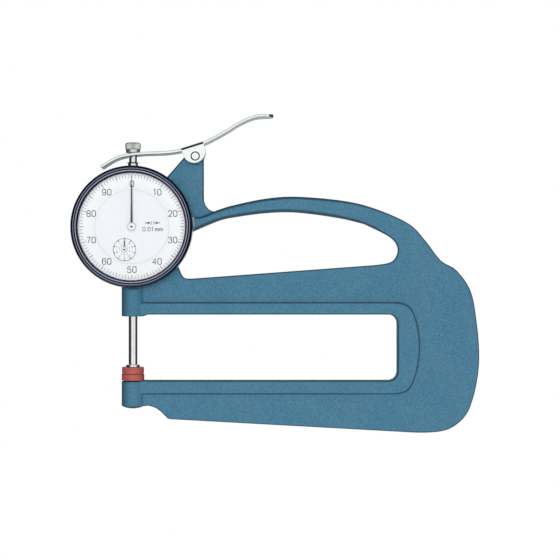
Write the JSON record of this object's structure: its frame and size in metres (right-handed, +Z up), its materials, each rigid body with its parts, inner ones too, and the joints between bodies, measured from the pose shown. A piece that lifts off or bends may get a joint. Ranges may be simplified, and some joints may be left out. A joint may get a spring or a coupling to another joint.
{
  "type": "dial thickness gauge",
  "caption": "Dial thickness gauge with a deep C-shaped cast frame, carrying handle, thumb lever, sliding spindle with flat measuring faces and a round dial.",
  "frame": {"origin": "middle of the carrying handle's bar, at the mount handle_grip", "axes": "+Z up along the spindle, in the direction in which it lifts; +X from the spindle towards the closed end of the throat; the dial faces -Y"},
  "size_m": [0.1849, 0.022, 0.1445],
  "materials": {
    "frame_paint": "teal-blue hammered paint on cast metal",
    "measuring_red": "semi-gloss red",
    "spindle_chrome": "hard chrome, polished",
    "bush_chrome": "plated",
    "knob_steel": "satin plated",
    "steel": "turned",
    "lever_nickel": "bright nickel plate",
    "bezel_black": "black anodised, satin",
    "cover_black": "black anodised, satin",
    "crystal_glass": "clear",
    "dial_white": "white enamel, printed",
    "hub_white": "white enamel",
    "pointer_black": "black enamel",
    "movement_brass": "satin"
  },
  "bodies": {
    "frame": {"frame_casting": "frame_paint", "lower_bush": "steel", "upper_bush": "bush_chrome", "anvil_stud": "steel", "anvil_disc": "measuring_red", "lever_pivot_pin": "bush_chrome", "pivot_washer_front": "steel", "pivot_washer_rear": "steel", "bezel_retaining_ring": "steel", "movement_front_plate": "movement_brass", "movement_rear_plate": "movement_brass", "dial_centre": "dial_white", "rear_cock": "movement_brass", "rear_cock_screw": "steel", "guide_rail": "steel", "spring_post": "steel", "hairspring_stud": "movement_brass", "return_spring": "steel", "hairspring": "steel", "back_cover": "cover_black", "plate_pillar_1": "movement_brass", "plate_screw_1": "steel", "plate_pillar_2": "movement_brass", "plate_screw_2": "steel", "plate_pillar_3": "movement_brass", "plate_screw_3": "steel", "back_cover_screw_1": "steel", "back_cover_screw_2": "steel", "back_cover_screw_3": "steel", "back_cover_screw_4": "steel"},
    "spindle_body": {"spindle": "spindle_chrome", "lifting_knob": "knob_steel", "contact_stud": "steel", "contact_disc": "measuring_red", "guide_pin": "steel"},
    "lever_body": {"lifting_lever": "lever_nickel"},
    "bezel_body": {"bezel": "bezel_black", "crystal": "crystal_glass", "crystal_spacer": "bezel_black", "dial_ring": "dial_white"},
    "centre_body": {"centre_pinion": "steel", "main_pointer": "pointer_black", "pointer_hub": "hub_white"},
    "counter_body": {"rack_pinion": "steel", "first_wheel": "movement_brass", "counter_pointer": "pointer_black"},
    "hairspring_body": {"hairspring_arbor": "steel", "hairspring_wheel": "movement_brass"}
  },
  "joints": [
    {"name": "spindle_slide", "type": "slide", "parent": "frame", "child": "spindle_body", "axis": [0, 0, 1], "range_m": [0, 0.01], "stiffness_N_per_m": 60, "springref_m": -0.02, "deforming": ["return_spring", "hairspring"]},
    {"name": "lever_pivot", "type": "hinge", "parent": "frame", "child": "lever_body", "pos_m": [-0.04595, 0, 0.02174], "axis": [0, 1, 0], "range_deg": [0, 18.95]},
    {"name": "pointer_turn", "type": "hinge", "parent": "frame", "child": "centre_body", "pos_m": [-0.07445, -0.009, -0.01026], "axis": [0, 1, 0], "range_deg": [0, 3601]},
    {"name": "counter_turn", "type": "hinge", "parent": "frame", "child": "counter_body", "pos_m": [-0.07775, -0.008, -0.02056], "axis": [0, 1, 0], "range_deg": [-361, 0]},
    {"name": "hairspring_wheel_turn", "type": "hinge", "parent": "frame", "child": "hairspring_body", "pos_m": [-0.07115, -0.005, 0.00004], "axis": [0, 1, 0], "range_deg": [-361, 0]},
    {"name": "bezel_turn", "type": "hinge", "parent": "frame", "child": "bezel_body", "pos_m": [-0.07445, -0.008, -0.01026], "axis": [0, 1, 0], "continuous": true}
  ],
  "couplings": [
    {"joint": "lever_pivot", "follows": "spindle_slide", "rad_per_m": 33},
    {"joint": "pointer_turn", "follows": "spindle_slide", "rad_per_m": 6283.2},
    {"joint": "counter_turn", "follows": "spindle_slide", "rad_per_m": -628.32},
    {"joint": "hairspring_wheel_turn", "follows": "spindle_slide", "rad_per_m": -628.32}
  ]
}
